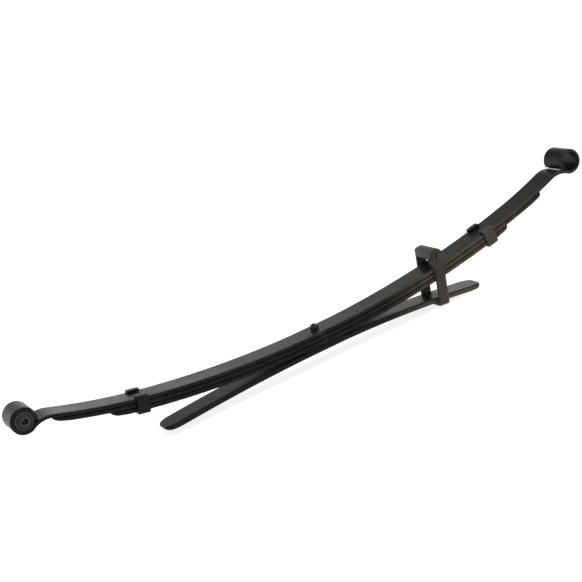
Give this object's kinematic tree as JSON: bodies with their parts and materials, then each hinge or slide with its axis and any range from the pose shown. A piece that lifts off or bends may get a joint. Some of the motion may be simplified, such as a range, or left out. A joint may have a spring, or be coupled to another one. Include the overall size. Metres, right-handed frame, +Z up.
{
  "type": "leaf spring",
  "caption": "Arched multi-leaf suspension spring with rolled eyes, a rubber-bushed front eye, rebound clips, a flat overload leaf below and a bolted stop bracket.",
  "frame": {"origin": "Centre of the locating face under the centre bolt's head, which drops into the axle pad.", "axes": "+X along the spring towards the rear (open) eye, +Y across the leaves, +Z up from the axle side to the main leaf."},
  "size_m": [1.3679, 0.0977, 0.2031],
  "materials": {
    "spring_paint": "semi-gloss black paint",
    "bracket_paint": "thin brown-black paint",
    "black_hardware": "black oxide, satin",
    "zinc_hardware": "dull zinc",
    "rubber": "matte",
    "plastic": "matte"
  },
  "bodies": {
    "clamped_centre": {"main_leaf_centre": "spring_paint", "second_leaf_centre": "spring_paint", "third_leaf_centre": "spring_paint", "overload_leaf": "spring_paint", "centre_spacer": "black_hardware", "centre_bolt": "black_hardware", "centre_nut": "black_hardware", "stop_bracket": "bracket_paint", "stop_bracket_rivet": "black_hardware", "stop_tube": "black_hardware", "stop_sleeve": "rubber", "stop_bolt": "zinc_hardware", "stop_washer": "black_hardware", "stop_nut": "black_hardware"},
    "front_half": {"main_leaf_front": "spring_paint", "second_leaf_front": "spring_paint", "third_leaf_front": "spring_paint", "bushing_outer_sleeve": "zinc_hardware", "bushing_rubber": "rubber", "front_clip": "spring_paint", "front_clip_rivet": "black_hardware", "front_tip_insert": "plastic"},
    "rear_half": {"main_leaf_rear": "spring_paint", "second_leaf_rear": "spring_paint", "third_leaf_rear": "spring_paint", "rear_clip": "spring_paint", "rear_clip_rivet": "black_hardware", "rear_tip_insert": "plastic"},
    "bushing_core": {"bushing_inner_sleeve": "zinc_hardware"}
  },
  "joints": [
    {"name": "front_flex", "type": "hinge", "parent": "clamped_centre", "child": "front_half", "pos_m": [-0.18596, 0, 0.03897], "axis": [0, -1, 0], "range_deg": [-3, 14], "stiffness_Nm_per_rad": 2500},
    {"name": "rear_flex", "type": "hinge", "parent": "clamped_centre", "child": "rear_half", "pos_m": [0.18596, 0, 0.03897], "axis": [0, 1, 0], "range_deg": [-3, 14], "stiffness_Nm_per_rad": 2900},
    {"name": "bushing_twist", "type": "hinge", "parent": "front_half", "child": "bushing_core", "pos_m": [-0.63107, 0, 0.13951], "axis": [0, 1, 0], "range_deg": [-20, 20], "stiffness_Nm_per_rad": 80}
  ]
}
